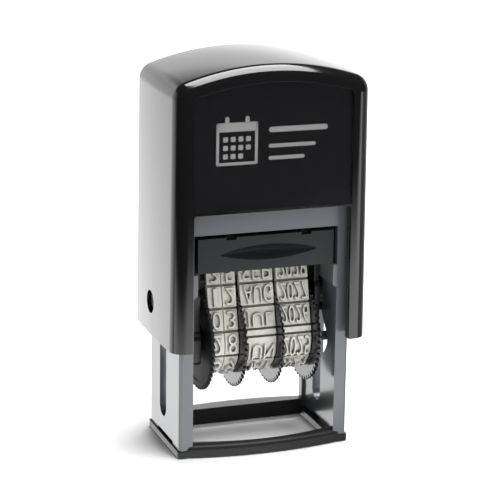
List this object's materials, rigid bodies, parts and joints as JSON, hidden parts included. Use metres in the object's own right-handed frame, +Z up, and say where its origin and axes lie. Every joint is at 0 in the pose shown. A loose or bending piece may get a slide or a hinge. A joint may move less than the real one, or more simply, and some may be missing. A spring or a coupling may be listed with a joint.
{
  "type": "self-inking date stamp",
  "caption": "Self-inking flip date stamp: a sprung arched cap turns a carrier of rubber date bands from the ink pad down to the paper.",
  "frame": {"origin": "on the table under the middle of the cap, at the underside of the foot", "axes": "+Z up, the way the cap is raised; +Y to the back; +X to the right seen from the front"},
  "size_m": [0.0396, 0.0264, 0.0762],
  "materials": {
    "gloss_black": "glossy moulded black",
    "clear_window": "clear satin plastic",
    "index_card": "printed black card",
    "frame_grey": "satin moulded grey",
    "foot_grey": "satin moulded dark grey",
    "tray_grey": "matt moulded dark grey",
    "ink_felt": "ink-soaked foam",
    "carrier_black": "satin moulded black",
    "band_rubber": "moulded grey-beige rubber",
    "steel": "drawn wire"
  },
  "bodies": {
    "frame": {"frame_housing": "frame_grey", "foot_ring": "foot_grey", "return_spring": "steel"},
    "pad": {"pad_tray": "tray_grey", "ink_pad": "ink_felt"},
    "cap": {"cap_shell": "gloss_black", "index_window": "clear_window", "index_card": "index_card"},
    "carrier": {"carrier_cheek_left": "carrier_black", "carrier_cheek_right": "carrier_black", "pivot_pin_left": "carrier_black", "pivot_pin_right": "carrier_black", "print_bridge": "carrier_black", "wheel_axle": "steel", "date_band_day_tens": "band_rubber", "date_band_day_units": "band_rubber", "date_band_month": "band_rubber", "date_band_year": "band_rubber"},
    "wheel_day_tens": {"thumb_wheel_day_tens": "carrier_black"},
    "wheel_day_units": {"thumb_wheel_day_units": "carrier_black"},
    "wheel_month": {"thumb_wheel_month": "carrier_black"},
    "wheel_year": {"thumb_wheel_year": "carrier_black"}
  },
  "joints": [
    {"name": "cap_slide", "type": "slide", "parent": "frame", "child": "cap", "axis": [0, 0, -1], "range_m": [0, 0.019], "stiffness_N_per_m": 400, "springref_m": -0.02, "deforming": ["return_spring"]},
    {"name": "carrier_flip", "type": "hinge", "parent": "cap", "child": "carrier", "pos_m": [0, 0.00115, 0.0285], "axis": [-1, 0, 0], "range_deg": [0, 180]},
    {"name": "pad_slide", "type": "slide", "parent": "frame", "child": "pad", "axis": [0, 1, 0], "range_m": [-0.03, 0]},
    {"name": "wheel_turn_day_tens", "type": "hinge", "parent": "carrier", "child": "wheel_day_tens", "pos_m": [0, 0.00115, 0.0201], "axis": [1, 0, 0], "continuous": true},
    {"name": "wheel_turn_day_units", "type": "hinge", "parent": "carrier", "child": "wheel_day_units", "pos_m": [0, 0.00115, 0.0201], "axis": [1, 0, 0], "continuous": true},
    {"name": "wheel_turn_month", "type": "hinge", "parent": "carrier", "child": "wheel_month", "pos_m": [0, 0.00115, 0.0201], "axis": [1, 0, 0], "continuous": true},
    {"name": "wheel_turn_year", "type": "hinge", "parent": "carrier", "child": "wheel_year", "pos_m": [0, 0.00115, 0.0201], "axis": [1, 0, 0], "continuous": true}
  ],
  "couplings": [
    {"joint": "carrier_flip", "follows": "cap_slide", "rad_per_m": 165.34}
  ]
}
